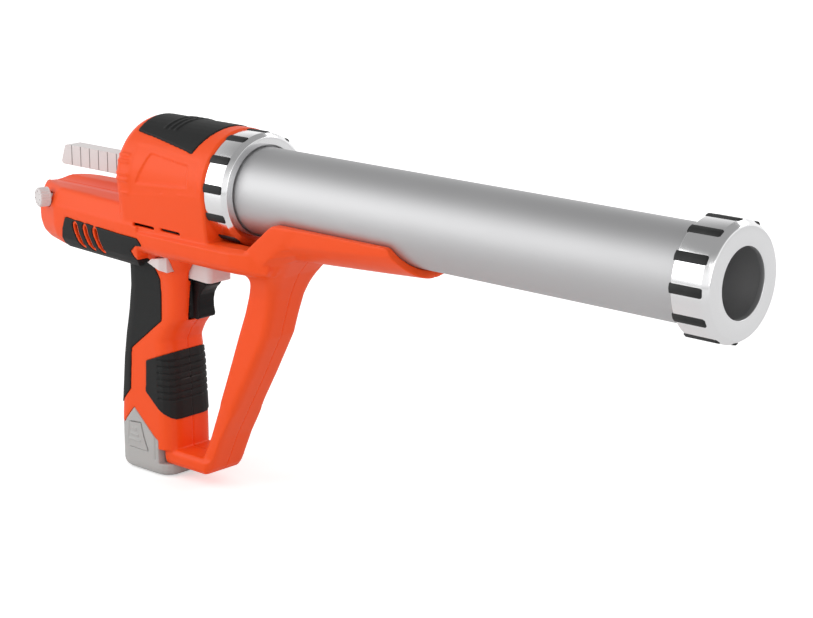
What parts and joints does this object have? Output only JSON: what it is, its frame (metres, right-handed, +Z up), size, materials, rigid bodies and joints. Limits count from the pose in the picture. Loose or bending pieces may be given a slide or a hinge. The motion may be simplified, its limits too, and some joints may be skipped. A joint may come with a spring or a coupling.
{
  "type": "cordless caulking tool",
  "caption": "Battery caulking tool for foil packs: aluminium barrel with ringed ends, pistol handle with finger guard, toothed push rod and plug-in battery.",
  "frame": {"origin": "centre of the nozzle hole at the front face of the front ring", "axes": "+X forward along the barrel, out of the nozzle hole; +Z up, away from the handle"},
  "size_m": [0.577, 0.076, 0.2472],
  "materials": {
    "orange_shell": "fine moulded satin",
    "black_rubber": "matt overmould",
    "satin_aluminium": "satin anodised",
    "bright_aluminium": "turned and polished",
    "light_grey_plastic": "fine moulded",
    "battery_plastic": "fine moulded",
    "black_plastic": "moulded",
    "dark_plastic": "moulded",
    "nylon": "natural",
    "steel": "ground",
    "bronze": "sintered",
    "die_cast": "as cast",
    "board_green": "lacquered"
  },
  "bodies": {
    "housing": {"housing_right": "orange_shell", "housing_left": "orange_shell", "top_cover": "black_rubber", "rear_grip_right": "black_rubber", "rear_grip_left": "black_rubber", "front_grip_right": "black_rubber", "front_grip_left": "black_rubber", "housing_screws": "steel", "barrel_socket": "die_cast", "rod_guides": "nylon", "gear_frame": "die_cast", "shaft_bushes": "bronze", "gearbox": "die_cast", "motor": "steel", "dial_potentiometer": "dark_plastic", "trigger_switch": "dark_plastic", "trigger_spring": "steel", "release_spring": "steel", "terminal_block": "dark_plastic", "circuit_board": "board_green"},
    "barrel": {"barrel_tube": "satin_aluminium"},
    "front_ring": {"front_ring": "bright_aluminium", "front_ring_inserts": "black_rubber"},
    "rear_ring": {"rear_ring": "bright_aluminium", "rear_ring_inserts": "black_rubber"},
    "rod": {"push_rod": "light_grey_plastic", "piston": "dark_plastic", "piston_nut": "steel"},
    "drive_gears": {"drive_shaft": "steel", "drive_pinion": "steel", "spur_gear": "steel"},
    "lay_gears": {"lay_shaft": "steel", "lay_pinion": "steel", "bevel_gear": "steel"},
    "bevel_pinion": {"bevel_pinion": "steel"},
    "dial": {"speed_dial": "light_grey_plastic"},
    "trigger": {"trigger": "black_plastic"},
    "release_button": {"release_button": "light_grey_plastic"},
    "lock_off_button": {"lock_off_button": "light_grey_plastic"},
    "battery": {"battery": "battery_plastic"},
    "latch_right": {"battery_latch_right": "battery_plastic"},
    "latch_left": {"battery_latch_left": "battery_plastic"}
  },
  "joints": [
    {"name": "barrel_turn", "type": "hinge", "parent": "housing", "child": "barrel", "pos_m": [-0.3, 0, 0], "axis": [1, 0, 0], "continuous": true},
    {"name": "front_ring_turn", "type": "hinge", "parent": "barrel", "child": "front_ring", "pos_m": [-0.012, 0, 0], "axis": [1, 0, 0], "range_deg": [0, 360]},
    {"name": "rear_ring_turn", "type": "hinge", "parent": "housing", "child": "rear_ring", "pos_m": [-0.371, 0, 0], "axis": [1, 0, 0], "range_deg": [0, 360]},
    {"name": "rod_slide", "type": "slide", "parent": "housing", "child": "rod", "axis": [1, 0, 0], "range_m": [-0.25, 0.042]},
    {"name": "drive_turn", "type": "hinge", "parent": "housing", "child": "drive_gears", "pos_m": [-0.43, 0, -0.01615], "axis": [0, 1, 0], "range_deg": [-1366, 231]},
    {"name": "lay_turn", "type": "hinge", "parent": "housing", "child": "lay_gears", "pos_m": [-0.44895, 0, -0.041], "axis": [0, 1, 0], "range_deg": [-591, 3509]},
    {"name": "bevel_pinion_turn", "type": "hinge", "parent": "housing", "child": "bevel_pinion", "pos_m": [-0.46095, 0, -0.041], "axis": [1, 0, 0], "range_deg": [-7017, 1180]},
    {"name": "dial_turn", "type": "hinge", "parent": "housing", "child": "dial", "pos_m": [-0.553, -0.033, -0.0262], "axis": [-0.3219, -0.9468, 0], "range_deg": [-135, 135]},
    {"name": "trigger_pull", "type": "slide", "parent": "housing", "child": "trigger", "axis": [-1, 0, 0], "range_m": [0, 0.007], "stiffness_N_per_m": 700, "springref_m": -0.006, "deforming": ["trigger_spring"]},
    {"name": "release_press", "type": "slide", "parent": "housing", "child": "release_button", "axis": [-1, 0, 0], "range_m": [0, 0.005], "stiffness_N_per_m": 600, "springref_m": -0.005, "deforming": ["release_spring"]},
    {"name": "lock_off_push", "type": "slide", "parent": "housing", "child": "lock_off_button", "axis": [0, 1, 0], "range_m": [0, 0.004]},
    {"name": "battery_slide", "type": "slide", "parent": "housing", "child": "battery", "axis": [0, 0, -1], "range_m": [0, 0.075]},
    {"name": "latch_right_press", "type": "slide", "parent": "battery", "child": "latch_right", "axis": [0, 1, 0], "range_m": [0, 0.0015], "stiffness_N_per_m": 1200, "springref_m": -0.002},
    {"name": "latch_left_press", "type": "slide", "parent": "battery", "child": "latch_left", "axis": [0, -1, 0], "range_m": [0, 0.0015], "stiffness_N_per_m": 1200, "springref_m": -0.002}
  ],
  "couplings": [
    {"joint": "drive_turn", "follows": "rod_slide", "rad_per_m": 95.238},
    {"joint": "lay_turn", "follows": "rod_slide", "rad_per_m": -244.9},
    {"joint": "bevel_pinion_turn", "follows": "rod_slide", "rad_per_m": 489.8}
  ]
}
